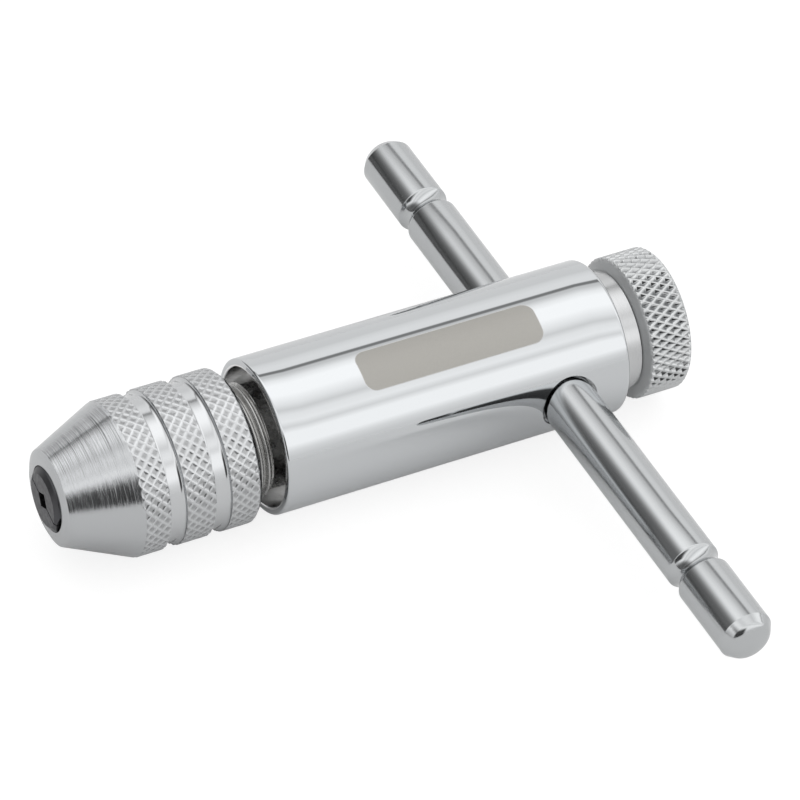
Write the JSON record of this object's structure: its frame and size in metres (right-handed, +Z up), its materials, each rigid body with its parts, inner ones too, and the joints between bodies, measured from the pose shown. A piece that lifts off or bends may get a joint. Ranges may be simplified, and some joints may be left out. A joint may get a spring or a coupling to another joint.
{
  "type": "t-handle tap wrench",
  "caption": "Ratchet tap wrench with a sliding tee bar, a knurled two-jaw chuck and a knurled selector knob for right, locked and left drive.",
  "frame": {"origin": "centre of the jaws' front face, where a tap enters, on the tool's axis", "axes": "+X along the tool's axis from the chuck to the selector knob, +Y along the tee bar, +Z up with the tool lying on its casing"},
  "size_m": [0.0851, 0.098, 0.02],
  "materials": {
    "polished_chrome": "mirror-polished chrome plate",
    "satin_nickel": "satin nickel plate on turned and knurled steel",
    "turned_steel": "bright turned steel",
    "phosphated_steel": "brown-grey phosphated thread, lightly oiled",
    "dark_steel": "blackened steel",
    "black_steel": "hardened, black burnished steel",
    "spring_steel": "drawn spring wire"
  },
  "bodies": {
    "handle": {"casing": "polished_chrome", "ratchet_core": "turned_steel", "front_bush": "dark_steel", "bar_ball": "turned_steel", "bar_ball_spring": "spring_steel", "bar_ball_plug": "dark_steel", "stop_pin": "turned_steel", "knob_screw": "dark_steel", "wave_washer": "spring_steel", "bolt_spring_upper": "spring_steel", "bolt_spring_lower": "spring_steel"},
    "bar": {"t_bar": "polished_chrome"},
    "spindle": {"spindle": "phosphated_steel", "ratchet_wheel": "dark_steel", "wheel_screw": "dark_steel", "thrust_washer": "turned_steel", "jaw_spring_left": "spring_steel", "jaw_spring_right": "spring_steel"},
    "nut_cone": {"cone_ring": "dark_steel"},
    "nut": {"chuck_nut": "satin_nickel"},
    "upper_jaw": {"jaw_upper": "black_steel"},
    "lower_jaw": {"jaw_lower": "black_steel"},
    "selector": {"selector_knob": "satin_nickel", "knob_cover": "turned_steel"},
    "upper_bolt": {"ratchet_bolt_upper": "turned_steel"},
    "lower_bolt": {"ratchet_bolt_lower": "turned_steel"}
  },
  "joints": [
    {"name": "bar_slide", "type": "slide", "parent": "handle", "child": "bar", "axis": [0, 1, 0], "range_m": [-0.029, 0.0426]},
    {"name": "spindle_turn", "type": "hinge", "parent": "handle", "child": "spindle", "pos_m": [0, 0, 0], "axis": [1, 0, 0], "continuous": true},
    {"name": "nut_advance", "type": "slide", "parent": "spindle", "child": "nut_cone", "axis": [-1, 0, 0], "range_m": [0, 0.00469]},
    {"name": "nut_turn", "type": "hinge", "parent": "nut_cone", "child": "nut", "pos_m": [0, 0, 0], "axis": [-1, 0, 0], "range_deg": [0, 1690]},
    {"name": "upper_jaw_slide", "type": "slide", "parent": "spindle", "child": "upper_jaw", "axis": [0, -0.2924, 0.9563], "range_m": [0, 0.0021], "deforming": ["jaw_spring_left"]},
    {"name": "lower_jaw_slide", "type": "slide", "parent": "spindle", "child": "lower_jaw", "axis": [0, 0.2924, -0.9563], "range_m": [0, 0.0021], "deforming": ["jaw_spring_right"]},
    {"name": "selector_turn", "type": "hinge", "parent": "handle", "child": "selector", "pos_m": [0.0806, 0, 0], "axis": [1, 0, 0], "range_deg": [-30.05, 30.05]},
    {"name": "upper_bolt_slide", "type": "slide", "parent": "handle", "child": "upper_bolt", "axis": [1, 0, 0], "range_m": [-0.0009, 0.0009], "deforming": ["bolt_spring_upper"]},
    {"name": "lower_bolt_slide", "type": "slide", "parent": "handle", "child": "lower_bolt", "axis": [1, 0, 0], "range_m": [-0.0009, 0.0009], "deforming": ["bolt_spring_lower"]}
  ],
  "couplings": [
    {"joint": "nut_turn", "follows": "nut_advance", "rad_per_m": 6283.2},
    {"joint": "upper_jaw_slide", "follows": "nut_advance", "ratio": 0.44523},
    {"joint": "lower_jaw_slide", "follows": "nut_advance", "ratio": 0.44523},
    {"joint": "selector_turn", "follows": "upper_bolt_slide", "rad_per_m": 581.78},
    {"joint": "lower_bolt_slide", "follows": "upper_bolt_slide", "ratio": -1}
  ]
}
